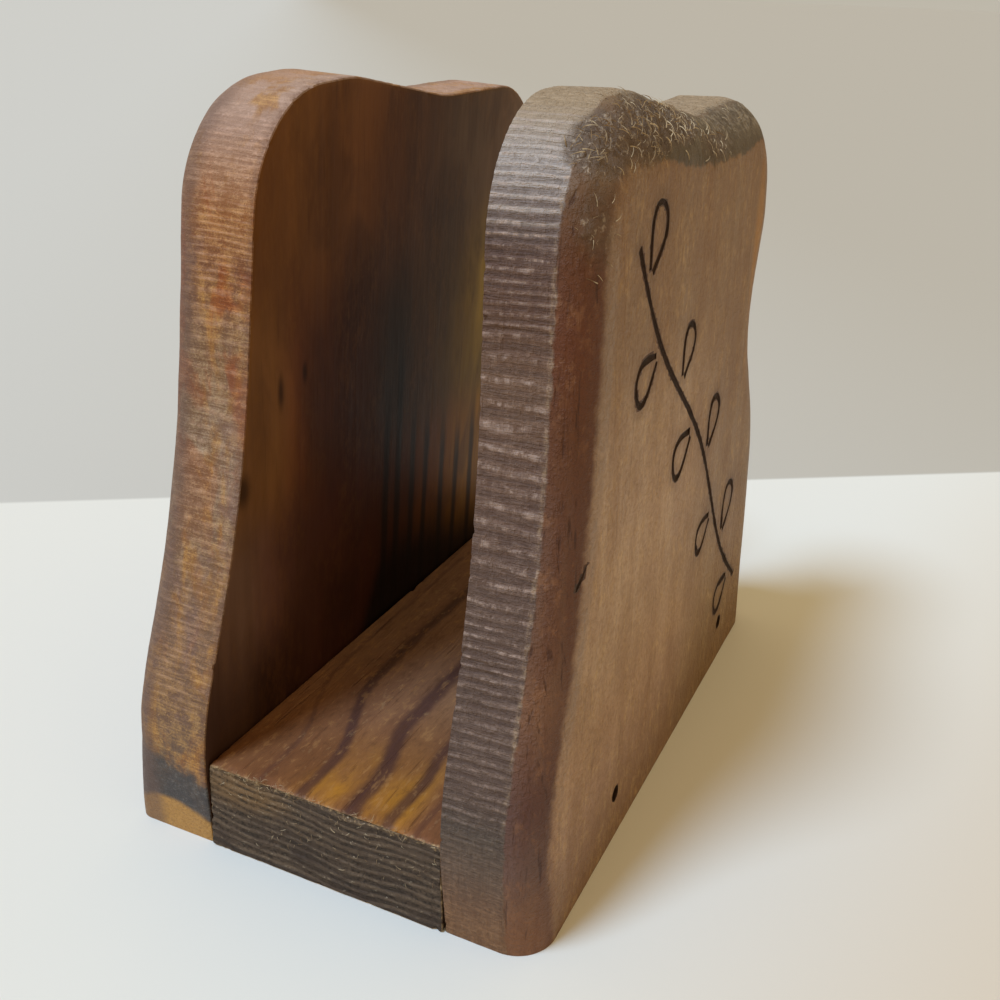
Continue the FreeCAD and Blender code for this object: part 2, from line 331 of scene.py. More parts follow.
def stretched(bottom, top, front, rear):
    """A grid of points stretched between four edges, from the bottom up."""
    across = np.linspace(0, 1, len(bottom))[None, :, None]
    up = np.linspace(0, 1, len(front))[:, None, None]
    ruled = (1 - up) * bottom[None] + up * top[None] + (1 - across) * front[:, None] \
        + across * rear[:, None]
    corners = (1 - across) * (1 - up) * bottom[0] + across * (1 - up) * bottom[-1] \
        + (1 - across) * up * top[0] + across * up * top[-1]
    return ruled - corners


def quads(rows, columns):
    """The faces of a grid of points."""
    number = np.arange(rows * columns).reshape(rows, columns)
    return between(number[:, :-1], number[:, 1:])


def between(here, ahead):
    """The faces between columns of points and the columns ahead of them."""
    return np.stack([here[:-1], ahead[:-1], ahead[1:], here[1:]], -1).reshape(-1, 4).tolist()


def mesh_of_patches(name, patches):
    """One closed mesh from patches of points that share their edges.

    A patch is its places, its runs and its faces; a grid of places needs no faces. The run
    is kept on the mesh: along the saw cut, round the section from the inner arris, and
    distance to the cut.
    """
    places, runs, faces = [], [], []
    first = 0
    for place, run, *given in patches:
        made = given[0] if given else quads(*place.shape[:2])
        places.append(place.reshape(-1, 3))
        runs.append(run.reshape(-1, 3))
        faces += [[first + corner for corner in face] for face in made]
        first += len(places[-1])
    mesh = bpy.data.meshes.new(name)
    mesh.from_pydata((np.concatenate(places) * MM).tolist(), [], faces)
    mesh.attributes.new("run", "FLOAT_VECTOR", "POINT").data.foreach_set(
        "vector", np.concatenate(runs).astype(np.float32).ravel())
    return in_scene(name, closed(mesh, SAME_PLACE))


def closed(mesh, reach):
    """Joins the points of a mesh that lie within reach, and turns its faces outwards."""
    shell = bmesh.new()
    shell.from_mesh(mesh)
    bmesh.ops.remove_doubles(shell, verts=shell.verts, dist=reach)
    bmesh.ops.recalc_face_normals(shell, faces=shell.faces)
    shell.to_mesh(mesh)
    shell.free()
    return mesh


def in_scene(name, data):
    thing = bpy.data.objects.new(name, data)
    bpy.context.scene.collection.objects.link(thing)
    return thing


def standing(facing, flat, thickness):
    """Turns depth and height on a side board into places in the holder's frame."""
    height = flat[..., 1]
    level = np.clip(1 - height / LEVEL_FOOT, 0, 1)
    across = facing * (HALF_GAP + thickness * cos(LEAN) - height * sin(LEAN))
    up = height * cos(LEAN) + thickness * sin(LEAN) * (1 - level)
    return np.stack([across, flat[..., 0], up], axis=-1)


def smooth(value, low, high):
    """0 below low, 1 above high, and smooth between them."""
    share = np.clip((value - low) / (high - low), 0, 1)
    return share * share * (3 - 2 * share)


def side_board(name, facing, humps, round_depth, round_reach, uneven):
    """A side board's closed mesh. Its round-over is given at the foot, midway and on top."""
    corners = FRONT_CUT + humps + REAR_CUT
    path = rounded_cut(corners)
    front, rear = (np.argmin(norm(path - corners[corner][:2], axis=1))
        for corner in (FRONT_SHOULDER, REAR_SHOULDER))
    cut = np.concatenate([evenly(path[:front + 1], UPRIGHT_STEPS),
         evenly(path[front:rear + 1], TOP_STEPS)[1:],
         evenly(path[rear:], UPRIGHT_STEPS)[1:]])
    along = np.r_[0, np.cumsum(norm(np.diff(cut, axis=0), axis=1))]
    heading = np.gradient(cut, axis=0)
    heading /= norm(heading, axis=1)[:, None]
    inwards = np.stack([heading[:, 1], -heading[:, 0]], axis=1)
    foot = smooth(cut[:, 1], SMOOTH_FOOT, 0)
    humped = smooth(cut[:, 0], *HUMP_DEPTHS) * smooth(cut[:, 1], *HUMP_HEIGHTS)
    wander = np.random.default_rng(uneven).normal(size=WANDERS)
    wander = np.interp(along, np.linspace(0, along[-1], WANDERS), wander) * WANDER
    depth, reach = (midway + (low - midway) * foot + (top - midway) * humped
        for low, midway, top in (round_depth, round_reach))
    depth = depth + wander * (1 - foot)

    rows = []                    # across the edge: thickness, inset and girth of each row
    level = 0 * along
    for share in np.linspace(0, 1, 3):
        angle = share * pi / 2
        rows.append(ARRIS * np.array((1 - cos(angle), 1 - sin(angle), share))[:, None] + level)
    for share in np.linspace(0, 1, FLAT_STEPS + 1)[1:]:
        thickness = ARRIS + (BOARD - depth - ARRIS) * share
        rows.append((thickness, level, thickness))
    for share in np.linspace(0, 1, ROUND_STEPS + 1)[1:]:
        angle = share * pi / 2
        rows.append((BOARD - depth + depth * sin(angle), reach * (1 - cos(angle)),
             BOARD - depth + ARC * (depth + reach) * share))

    thicknesses, insets, girths = np.stack(rows, axis=1)
    flats = cut[None] + inwards[None] * insets[..., None]
    flats[..., 1] -= inwards[:, 1] * insets * np.clip(1 - cut[:, 1] / LEVEL_INSET, 0, 1)
    band_run = np.stack([np.broadcast_to(along, girths.shape), girths, insets], axis=-1)
    nearest = KDTree(len(cut))
    for number, (across, up) in enumerate(cut):
        nearest.insert((across, up, 0), number)
    nearest.balance()

    def face(row, sign):
        """The flat face inside one end row of the edge, as two patches, and its bottom line."""
        rim = flats[row]
        thickness = thicknesses[row][0]
        coarse = (rim + inwards * RIM)[::COARSER]
        coarse[[0, -1], 1] = rim[[0, -1], 1]
        front_steps, top_steps = UPRIGHT_STEPS // COARSER, TOP_STEPS // COARSER
        front = coarse[:front_steps + 1]
        top = coarse[front_steps:front_steps + top_steps + 1]
        rear = coarse[front_steps + top_steps:][::-1]
        shares = np.linspace(0, 1, top_steps + 1)[:, None]
        bottom = front[0] * (1 - shares) + rear[0] * shares
        grid = stretched(bottom, top, front, rear)

        def runs(flat):
            run = np.zeros(flat.shape[:-1] + (3,))
            for index in np.ndindex(run.shape[:-1]):
                _, number, distance = nearest.find((*flat[index], 0))
                run[index] = (along[number],
                    girths[row][number] + sign * (distance - insets[row][number]), distance)
            return run

        strip = np.concatenate([rim, coarse])
        strip_run = np.concatenate([np.stack([along, girths[row], insets[row]], axis=-1),
             runs(coarse)])
        strip_faces = []
        for number in range(len(coarse) - 1):
            fine, near, far = number * COARSER, len(rim) + number, len(rim) + number + 1
            strip_faces += [[fine, fine + 1, near], [fine + 1, fine + 2, far, near],
                [fine + 2, fine + 3, far]]
        return [(standing(facing, grid, thickness), runs(grid)),
                (standing(facing, strip, thickness), strip_run, strip_faces)], \
            np.concatenate([rim[:1], bottom, rim[-1:]])

    inner, inner_bottom = face(0, -1)
    outer, outer_bottom = face(len(rows) - 1, 1)
    ends = [np.stack([flats[:, end, 0], flats[:, end, 1], thicknesses[:, end]], axis=-1)
        for end in (0, -1)]
    foot = stretched(np.c_[inner_bottom, np.zeros(len(inner_bottom))],
        np.c_[outer_bottom, np.full(len(outer_bottom), BOARD)], *ends)
    foot_run = np.stack([0 * foot[..., 2], foot[..., 2], 0 * foot[..., 2]], axis=-1)
    return mesh_of_patches(name, [
        (standing(facing, flats, thicknesses), band_run), *outer,
        (standing(facing, foot[..., :2], foot[..., 2]), foot_run), *inner,
    ])


def mark(thing, name, spots):
    """Keeps on the mesh how far a spot reaches: spots have a centre, a size and an amount.

    A spot is full within half its size and gone at four thirds of it.
    """
    count = len(thing.data.vertices)
    places = np.zeros(count * 3, np.float32)
    thing.data.vertices.foreach_get("co", places)
    places = places.reshape(-1, 3) / MM
    amounts = np.zeros(count, np.float32)
    for centre, size, amount in spots:
        distance = norm((places - centre) / size, axis=1)
        amounts = np.maximum(amounts, amount * np.clip(1.6 - distance * 1.2, 0, 1))
    thing.data.attributes.new(name, "FLOAT", "POINT").data.foreach_set("value", amounts)


def nail_bore(facing, depth, stages, material):
    """A cutter on a nail's axis, turned from (distance from the inner face, radius) stages."""
    axis = np.array((facing * cos(LEAN), 0, sin(LEAN)))
    start = np.array((facing * (HALF_GAP - NAIL_HEIGHT * sin(LEAN)), depth,
         NAIL_HEIGHT * cos(LEAN)))
    aside = np.cross(axis, (0, 1, 0))
    turns = np.linspace(0, 2 * pi, NAIL_SIDES + 1)[:-1]
    circle = np.cos(turns)[:, None] * np.array((0, 1, 0)) + np.sin(turns)[:, None] * aside
    rings = np.concatenate([start + axis * out + circle * radius for out, radius in stages])
    number = np.arange(len(rings)).reshape(-1, NAIL_SIDES)
    faces = between(number, np.roll(number, -1, axis=1))
    faces += [number[0].tolist(), number[-1].tolist()]
    mesh = bpy.data.meshes.new("nail_bore")
    mesh.from_pydata((rings * MM).tolist(), [], faces)
    mesh.materials.append(material)
    return in_scene("nail_bore", closed(mesh, 0))


def line_object(name, lines):
    """Drawn lines, as an object of loose edges."""
    points, edges = [], []
    for line in lines:
        edges += [(len(points) + step, len(points) + step + 1) for step in range(len(line) - 1)]
        points += [tuple(point) for point in np.array(line) * MM]
    mesh = bpy.data.meshes.new(name)
    mesh.from_pydata(points, edges, [])
    return in_scene(name, mesh)


def seen_as(colour):
    """A colour as it looks on a screen, from 0 to 255, as light. Other colours stay."""
    if isinstance(colour, Tone) or len(colour) == 4:
        return colour
    return tuple(value / 255 / 12.92 if value <= 10 else ((value / 255 + 0.055) / 1.055) ** 2.4
        for value in colour) + (1.0,)


def over(under, mask, colour):
    """A colour laid over another one where the mask is 1."""
    return add(mask.tree, "ShaderNodeMix", {0: mask, 6: seen_as(under), 7: seen_as(colour)}, 2,
        data_type="RGBA")


def coats(colour, *layers):
    """Layers of a mask and a colour, laid one after another over a first colour."""
    for mask, tone in layers:
        colour = over(colour, mask, tone)
    return colour


def ramp(tone, *stops):
    """A colour that changes with a value, through stops of a value and a colour."""
    low, high = stops[0][0], stops[-1][0]
    made = add(tone.tree, "ShaderNodeValToRGB", ((tone - low) / (high - low),))
    elements = made.socket.node.color_ramp.elements
    for value, *_ in stops[1:-1]:
        elements.new((value - low) / (high - low))
    for element, (_, *colour) in zip(elements, stops):
        element.color = seen_as(colour)
    return made


def new_material(name):
    """A new material, its shader, and the place on the thing as a value."""
    material = bpy.data.materials.new(name)
    material.use_nodes = True
    tree = material.node_tree
    place = add(tree, "ShaderNodeTexCoord", output="Object")
    return material, tree.nodes["Principled BSDF"], place


def wood_material(name):
    """A new material, with the place on the wood in millimetres as a value."""
    material, _, place = new_material(name)
    return material, place.times(IN_MM)


def attribute(place, name, output="Fac"):
    """An attribute of the mesh, in a material."""
    return add(place.tree, "ShaderNodeAttribute", output=output, attribute_name=name)


def wood_surface(base, rough, height, depth, gloss=0.25):
    """The Principled shader of a piece of wood, with bump from a height in millimetres."""
    tree = base.tree
    bump = add(tree, "ShaderNodeBump", {"Height": height, "Distance": depth * MM})
    oiled = add(tree, "ShaderNodeHueSaturation",
        {"Saturation": OIL_RICHNESS, "Value": OIL_LIGHTNESS, "Color": base})
    feed(tree.nodes["Principled BSDF"],
        {"Base Color": oiled, "Roughness": rough, "Normal": bump, "Specular IOR Level": gloss})


def use(group, place, *rest):
    """Places a shader group, fed with the values, and gives its outputs."""
    made = place.tree.nodes.new("ShaderNodeGroup")
    made.node_tree = group
    feed(made, dict(enumerate((place, *rest))))
    return [Tone(place.tree, output) for output in made.outputs]


# Long grain: broad streaks, fine fibre and dark pores, all drawn out along the wood.
long_grain, (place, seed), result = new_tree(
    "long_grain", "ShaderNodeTree", "Place: Vector, Seed", "Streaks, Fibre, Pores")
feed(result, {"Streaks": place.noise(7, 4, 0.6, 0.8, seed).rise(0.3, 0.7),
     "Fibre": place.noise(0.7, 3, 0.65, 0.2, seed).rise(0.25, 0.75),
     "Pores": place.noise(0.9, 2, 0.5, 0, seed).rise(0.60, 0.72)})

# Saw lines: crests that match the ridges in the mesh, and finer scratches between them.
saw_lines, (along, girth, pitch, seed), result = new_tree(
    "saw_lines", "ShaderNodeTree", "Along, Girth, Pitch, Seed", "Crests, Scratches")
scratches = joined(along, girth, 0).times((1, 0.09, 0)).noise(0.55, 3, 0.7, 0.4, seed)
feed(result, {"Crests": saw_crests(along, girth, pitch, seed),
     "Scratches": scratches.rise(0.36, 0.66)})

# A stain: one patch of another colour, with a soft and wandering boundary.
stain, (place, centre, size, softness, wander, seed), result = new_tree(
    "stain", "ShaderNodeTree",
    "Place: Vector, Centre: Vector, Size: Vector, Softness, Wander, Seed", "Mask")
distance = place.vector_maths("SUBTRACT", centre).vector_maths("DIVIDE", size) \
    .vector_maths("LENGTH", output="Value")
distance = distance + (place.noise(7, 4, 0.6, 0.4, seed) - 0.5) * wander * 2
feed(result, {"Mask": add(
    stain, "ShaderNodeMapRange",
    {"Value": distance, "From Min": softness * -1.0 + 1.0, "From Max": softness + 1.0,
     "To Min": 1.0, "To Max": 0.0}, interpolation_type="SMOOTHSTEP")})

# Mottle: cloudy blotches, and specks a seventh of their size.
mottle, (place, scale, seed), result = new_tree(
    "mottle", "ShaderNodeTree", "Place: Vector, Scale, Seed", "Blotches, Specks")
feed(result, {"Blotches": place.noise(scale, 4, 0.6, 0.3, seed).rise(0.35, 0.65),
     "Specks": place.noise(scale * 7, 3, 0.7, 0, seed).rise(0.4, 0.7)})

UPRIGHT_GRAIN = (1.0, 1.0, 0.05)
RIDGE_PITCH = 3.4
RIGHT_SEED, LEFT_SEED, BASE_SEED = 3.0, 11.0, 19.0

# The right board's outside: grey sawn edge, red-brown round-over, golden-brown face, and
# scorched, frayed humps.
right_outside, place = wood_material("right_outside_wood")
along, girth, _ = attribute(place, "run", "Vector").parts()
_, depth, height = place.parts()
frayed, singed = attribute(place, "frayed"), attribute(place, "singed")
streaks, fibre, pores = use(long_grain, place.times(UPRIGHT_GRAIN), 1)
crests, scratches = use(saw_lines, along, girth, RIDGE_PITCH, RIGHT_SEED)
blotches, specks = use(mottle, place, 0.14, 2)
clouds, flecks = use(mottle, place.times((1, 1, 0.5)), 0.11, 3)
ragged = place.noise(3, 4, 0.65, 0.3, 5) - 0.5
band = (girth + ragged * 2.4).fall(12.3, 12.9)
face = (girth + ragged * 3).rise(21.4, 24)
sawn = height.rise(22, 30)
# sawn edge; its grey-white stops from 130 mm up are a painted reflection of bright light on the
# top shoulder
edge_dark = ramp(height, (3, 104, 77, 58), (10, 97, 74, 60), (17, 86, 70, 60), (26, 71, 61, 55),
    (33, 86, 71, 64), (60, 88, 71, 63), (85, 90, 70, 61), (102, 100, 78, 65), (115, 90, 68, 59),
    (123, 85, 67, 61), (130, 107, 95, 89), (136, 144, 135, 130), (142, 154, 140, 126))
edge_pale = ramp(height, (3, 150, 117, 90), (10, 138, 110, 88), (17, 125, 105, 90),
    (26, 108, 96, 86), (33, 114, 97, 87), (60, 120, 102, 92), (85, 130, 109, 98),
    (102, 136, 113, 98), (115, 118, 95, 82), (123, 126, 105, 95), (130, 150, 136, 130),
    (136, 186, 178, 173), (142, 178, 163, 146))
grit = specks * 0.45 + scratches * 0.35 + fibre * 0.3 - 0.1
broken = (flecks * 0.7 + blotches * 0.5).rise(0.15, 0.95)
# how strong the painted highlight on the saw crests is at each height
bright = height.rise(46, 58) * 0.45 + height.line(112, 4, 6) * -0.3 \
    + height.rise(118, 124) * 0.3 + 0.35
edge_wood = coats(edge_dark,
    (grit, edge_pale),
    # painted highlight on the crests, painted shade in the hollows, and a grey-white painted
    # reflection on the crests near the top
    (crests.rise(0.35, 1) * broken * sawn * bright, (166, 146, 136)),
    (crests.fall(0, 0.12) * sawn * height.fall(126, 134) * 0.3, (64, 50, 46)),
    (crests.rise(0.1, 0.9) * height.rise(124, 130) * 0.4, (196, 188, 182)),
    (girth.line(12.2, 0.1, 0.8) * flecks * height.rise(24, 36) * 0.5, (176, 152, 126)))
# round-over
round_wood = ramp(height, (4, 126, 92, 68), (12, 118, 90, 72), (20, 105, 85, 77), (32, 87, 66, 60),
    (48, 112, 84, 67), (62, 102, 76, 61), (80, 95, 68, 55), (96, 92, 61, 44), (110, 95, 60, 44),
    (122, 94, 64, 48), (130, 100, 78, 60), (137, 124, 106, 88))
round_wood = coats(round_wood,
    (streaks * 0.42, (84, 48, 36)),
    ((flecks * blotches).rise(0.1, 0.8) * 0.4, (134, 98, 74)),
    (girth.rise(18, 22) * height.fall(126, 136) * 0.5, (92, 66, 56)),
    (pores * 0.65, (58, 36, 28)))
# face
face_wood = ramp(height, (4, 128, 102, 86), (20, 160, 132, 113), (34, 176, 147, 122),
    (50, 184, 159, 136), (70, 188, 164, 143), (90, 175, 153, 133), (104, 142, 120, 100),
    (118, 138, 116, 96), (132, 130, 107, 88))
rear_wood = ramp(height, (4, 112, 86, 58), (20, 136, 113, 86), (34, 152, 130, 108),
    (50, 138, 119, 100), (64, 150, 131, 114), (78, 139, 119, 103), (92, 139, 118, 100),
    (118, 138, 117, 97), (132, 132, 109, 88))
golden, = use(stain, place, (43, 50, 104), (12, 3.5, 24), 0.6, 0.2, 6)
face_wood = coats(face_wood,
    (depth.rise(-8, 34), rear_wood),
    (clouds * 0.42, (128, 98, 74)),
    (blotches * flecks * 0.42, (206, 176, 134)),
    (streaks * 0.22, (126, 94, 70)),
    (pores * 0.25, (108, 80, 58)),
    (specks * 0.30, (116, 88, 64)),
    (golden * 0.5, (176, 132, 82)))
arris_wear = girth.line(24.2, 0.5, 2.2) * height.rise(20, 50) * height.fall(122, 134) \
    * (flecks * 0.4 + 0.35)
wood = coats(round_wood,
    (face, face_wood),
    (arris_wear, (142, 126, 118)),
    (band, edge_wood))
# the top, scorched where it is rounded over and torn
top = height.rise(135.5, 138.5) * depth.rise(-48, -40)
top_wood = over((166, 148, 126), grit * 0.6, (134, 115, 92))
scorch_edge = (depth - 20.0) * (depth - 20.0) * 0.0022 + 130.0
scorch = (height + ragged * 4 - scorch_edge).rise(-0.5, 0.5) * depth.rise(-36, -28)
scorch = scorch * (girth + ragged * 8).rise(10.5, 15)
torn = (frayed * 1.3 + ragged * 0.8).rise(0.3, 0.8)
wood = coats(wood,
    (top * band, top_wood),
    (scorch * 0.92, over((78, 70, 60), blotches * 0.5, (106, 96, 83))),
    (scorch * flecks * girth.fall(18, 24) * 0.7, (158, 146, 128)),
    (torn * 0.85, over((99, 85, 74), (specks * flecks).rise(0.1, 0.6) * 0.8, (170, 157, 142))),
    (singed * 0.35, (84, 60, 44)))
rough = band * 0.14 + torn * 0.15 + streaks * 0.08 + 0.5
bumps = streaks * 0.2 + fibre * 0.35 - pores * 0.4 + scratches * band * 0.7 + specks * 0.7 \
    + flecks * face * 0.9
wood_surface(wood, rough, bumps, 0.3)

# Its inside is never seen square on: dark brown like the left board's.
right_inside, place = wood_material("right_inside_wood")
height = place.parts()[2]
streaks, fibre, pores = use(long_grain, place.times(UPRIGHT_GRAIN), 7)
wood = coats((104, 76, 56),
    (streaks * 0.7, (76, 52, 40)),
    # painted shade: darker towards the foot, down between the boards
    (height.fall(20, 60) * 0.7, (50, 32, 26)),
    (pores * 0.5, (40, 28, 22)))
wood_surface(wood, streaks * 0.2 + 0.45, streaks * 0.4 + fibre * 0.4 - pores * 0.5, 0.3)

# Charred wood, where an iron or a blade cut in, and the pale wood inside torn fibres.
charred, place = wood_material("charred_wood")
soot, crumbs = use(mottle, place, 0.5, 32)
wood = over((58, 40, 30), soot * 0.6, (34, 24, 19))
wood_surface(wood, crumbs * 0.2 + 0.7, crumbs + soot, 0.15)
torn_wood, place = wood_material("torn_wood")
blotches, specks = use(mottle, place, 0.3, 33)
wood = over((192, 176, 148), blotches, (112, 88, 62))
wood_surface(wood, specks * 0.2 + 0.6, specks, 0.05)

weathered_pine = weathering_tree()
rods_along_lines = stroke_tree()
torn_fibres = fibre_tree()

NAIL_HEIGHT, NAIL_DEPTHS, NAIL_SIDES = 10.5, (-33.5, 45.0), 24
HEAD_BORE, SHANK_BORE = 1.75, 1.15
BURN_RADIUS, BURN_LIFT, NICK_RADIUS = 0.88, 0.45, 0.5
STEM_POINTS, LEAF_POINTS, WAVES, SWAY = 60, 34, 1.5, 2.4
LEAF_STALK, LEAF_WIDTH = 1.7, 0.30


def sprig(start, end, leaves, size):
    """A burnt ornament: a wavy stem with open leaf loops on alternate sides of it."""
    start, end = np.array(start, float), np.array(end, float)
    heading = (end - start) / norm(end - start)
    shares = np.linspace(0, 1, STEM_POINTS)[:, None]
    sway = np.sin(shares * 2 * pi * WAVES) * SWAY * np.array([heading[1], -heading[0]])
    stem = start + (end - start) * shares + sway
    lines = [stem]
    turn = np.linspace(0.03, 0.97, LEAF_POINTS)[:, None]
    for leaf in range(leaves):
        root = stem[int((leaf + 0.6) * (STEM_POINTS - 1) / leaves)]
        side = -1 if leaf % 2 else 1
        aside = np.array([-heading[1], heading[0]]) * side
        tip = 0.94 * aside - 0.35 * heading
        across = np.array([tip[1], -tip[0]])
        length = size * (1.0 - 0.06 * (leaf % 3))
        lines.append(root + tip * LEAF_STALK + tip * np.sin(turn * pi) ** 0.9 * length
            + across * np.sin(turn * 2 * pi) * length * LEAF_WIDTH)
    return lines


right_board = side_board("right_board", RIGHT, RIGHT_HUMPS, (8.0, 6.4, 9.9), (8.0, 10.0, 11.4), 5)
mark(right_board, "frayed", (
    ((37, -45, 139), (6, 10, 6), 0.9), ((39, -30, 140), (7, 14, 6), 1.0),
    ((38, -10, 140), (7, 16, 5), 0.9), ((40, 12, 134), (4, 14, 5), 0.55),
    ((37, 30, 138), (6, 22, 4), 0.3), ((39.5, -52, 128), (4, 6, 10), 0.45)))
ornament = [standing(RIGHT, line, BOARD + BURN_LIFT)
    for line in sprig((-36, 121), (57, 19), 8, 13.5)]
mark(right_board, "singed",
    [(point, (2.6, 2.6, 2.6), 1.0) for line in ornament for point in line[::3]])
burning = line_object("burning", ornament)
grow(burning, rods_along_lines, radius=BURN_RADIUS * MM, uneven=0.9, material=charred)
nicks = line_object("nicks", [
    [(43.0, -54.0, 73.0), (42.6, -55.6, 70.9), (42.3, -57.0, 69.2), (42.3, -57.9, 68.0)],
    [(41.2, -0.9, 133.9), (41.4, 0.4, 130.2), (41.5, -0.6, 128.0)]])
grow(nicks, rods_along_lines, radius=NICK_RADIUS * MM, uneven=0.8, material=charred)
grow(right_board, weathered_pine, grain=(1.0, 1.0, 0.03), ridge_pitch=RIDGE_PITCH,
    ridge_depth=0.42, smooth_foot=SMOOTH_FOOT, grain_depth=0.08, fray_depth=1.2, chip_depth=0.45,
    seed=RIGHT_SEED, outside=right_outside, inside=right_inside)
cut_away(right_board, burning)
cut_away(right_board, nicks)
HOLE = ((BOARD + 4, HEAD_BORE), (BOARD - 4, HEAD_BORE), (BOARD - 4, SHANK_BORE), (-4, SHANK_BORE))
for nail_depth in NAIL_DEPTHS:
    cut_away(right_board, nail_bore(RIGHT, nail_depth, HOLE, charred))

right_fibres = in_scene("right_fibres", right_board.data.copy())
grow(right_fibres, torn_fibres, per_square_metre=5.5e5, length=2.3 * MM, seed=4,
    material=torn_wood)
finish_mesh(right_fibres)
finish_mesh(right_board)
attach(right_board, "root")
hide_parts("right_side")
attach(right_fibres, "root")

# --------------------
# Left side board. Cut to the same outline and nailed on the same way. Its sawn edge
# came out tan and mottled, and its inner face is scorched nearly black towards the back.

LEFT_HUMPS = ((-52.4, 142.3, 23), (-22, 144, 40), (15, 138.3, 50), (62.5, 139, 21))

left_outside, place = wood_material("left_outside_wood")
along, girth, _ = attribute(place, "run", "Vector").parts()
_, depth, height = place.parts()
streaks, fibre, pores = use(long_grain, place.times(UPRIGHT_GRAIN), 8)
crests, scratches = use(saw_lines, along, girth, RIDGE_PITCH * 0.8, LEFT_SEED)
blotches, specks = use(mottle, place, 0.34, 9)
clouds, flecks = use(mottle, place, 0.12, 10)
edge_dark = ramp(height, (4, 96, 82, 72), (22, 104, 84, 71), (30, 110, 86, 70), (45, 112, 89, 73),
    (62, 118, 93, 74), (80, 120, 96, 76), (98, 116, 89, 67), (112, 112, 76, 56),
    (122, 140, 94, 62), (130, 150, 114, 90), (136, 160, 132, 116), (142, 164, 138, 124))
edge_pale = ramp(height, (4, 150, 122, 92), (22, 160, 128, 92), (30, 164, 131, 94),
    (45, 154, 123, 97), (62, 164, 137, 109), (80, 170, 148, 126), (98, 168, 140, 110),
    (112, 174, 130, 94), (122, 190, 145, 102), (130, 188, 152, 128), (136, 190, 160, 144),
    (142, 190, 165, 150))
grit = (blotches * 0.4 + specks * 0.45 + scratches * 0.35 - 0.6) * 1.7 + 0.5
worn = place.times((1, 1, 0.35))
red = worn.noise(8, 4, 0.6, 0.6, 51).rise(0.50, 0.62) * (height.rise(62, 104) * 0.6 + 0.2) \
    * height.fall(120, 136)
gold = worn.noise(7, 4, 0.6, 0.6, 52).rise(0.48, 0.62)
plum = worn.noise(9, 4, 0.65, 0.6, 53).rise(0.50, 0.64) * height.fall(112, 130)
# strength of the painted highlight on the saw crests and of the painted shade in their hollows
crest_light_and_shade = (height.rise(92, 112) * 0.4 + 0.6) * height.rise(26, 34) * height.fall(134, 141) \
    * (flecks * 0.6 + blotches * 0.5)
patchy = place.noise(5, 5, 0.65, 0.5, 12)
scorch = (height + (patchy - 0.5) * 13 - girth * 0.3).fall(13.5, 18.5)
bare, = use(stain, place, (-36, -73, -1.5), (12.5, 12, 9.5), 0.10, 0.12, 13)
edge_wood = coats(edge_dark,
    (grit, edge_pale),
    (gold * 0.68, over((148, 106, 66), grit, (196, 152, 96))),
    (plum * 0.6, over((112, 90, 84), grit * 0.7, (150, 128, 118))),
    (red * 0.85, over((132, 72, 44), grit, (182, 112, 70))),
    # painted highlight on the crests and painted shade in the hollows
    (crests.rise(0.3, 1) * crest_light_and_shade * 0.5, (198, 162, 140)),
    (crests.fall(0.02, 0.3) * crest_light_and_shade * 0.4, (104, 74, 60)),
    (girth.fall(0.6, 1.8) * (flecks * 0.5 + 0.15), (104, 76, 62)),
    (scorch * (specks * 0.12 + 0.87), over((62, 62, 64), flecks * specks, (120, 117, 114))),
    (bare, over((178, 140, 92), specks * 0.6, (142, 105, 68))),
    # grey-purple over the round-over: partly its colour, partly painted shade where it turns away
    ((girth + (patchy - 0.5) * 4).rise(10.5, 14) * 0.6, (104, 84, 76)))
face = girth.rise(20, 25)
face_wood = coats((158, 124, 92),
    (streaks * 0.5, (124, 94, 68)),
    (clouds * 0.3, (140, 104, 76)),
    (pores * 0.35, (84, 60, 44)))
top = height.rise(137, 141) * depth.rise(-46, -30)
wood = coats(edge_wood,
    (face, face_wood),
    (top * girth.rise(3, 9) * 0.6, over((186, 150, 128), grit, (156, 122, 102))))
bumps = streaks * 0.2 + fibre * 0.3 + scratches * face.away() * 0.4 + specks * 0.5
wood_surface(wood, streaks * 0.15 + 0.5, bumps, 0.22)

left_inside, place = wood_material("left_inside_wood")
_, depth, height = place.parts()
streaks, fibre, pores = use(long_grain, place.times(UPRIGHT_GRAIN), 14)
clouds, flecks = use(mottle, place.times((1, 1, 0.4)), 0.09, 15)
drift = (place.times((1, 1, 0.18)).noise(9, 3, 0.6, 0.4, 16) - 0.5) * 5
bent = depth + drift * 1.6
upper = ramp(bent, (-66, 106, 70, 46), (-40, 132, 93, 62), (-30, 123, 85, 56), (-18, 119, 81, 54),
    (-6, 118, 78, 50), (10, 90, 64, 48), (20, 96, 75, 60), (30, 111, 90, 73), (66, 129, 105, 89))
middle = ramp(bent, (-66, 126, 93, 68), (-50, 144, 104, 70), (-41, 128, 82, 58), (-29, 74, 45, 33),
    (-19, 71, 40, 26), (-8, 69, 45, 29), (2, 68, 46, 28), (11, 96, 68, 37), (20, 108, 84, 45),
    (30, 134, 107, 54), (40, 180, 152, 82), (66, 184, 156, 88))
lower = ramp(bent, (-68, 98, 74, 60), (-60, 127, 99, 83), (-52, 125, 91, 78), (-42, 97, 65, 55),
    (-30, 86, 53, 44), (-18, 83, 48, 39), (-7, 74, 40, 27), (4, 84, 46, 22), (14, 126, 78, 36),
    (24, 143, 97, 43), (40, 198, 150, 79), (66, 200, 152, 82))
shaded = depth.fall(-56, -44) * 0.5 + depth.line(-49, 3, 9) * 0.4
gloom = place.times((1, 1, 0.5)).noise(19, 4, 0.6, 0.6, 54).rise(0.46, 0.62) \
    * (depth.rise(-52, -32) * 0.8 + 0.2)
blue, = use(stain, place, (-24, -4, 84), (14, 6, 15), 0.7, 0.3, 17)
back = (depth + drift * 0.6).rise(-10, -4)
dark_foot = (height + (streaks - 0.5) * 20).fall(20, 44) * back
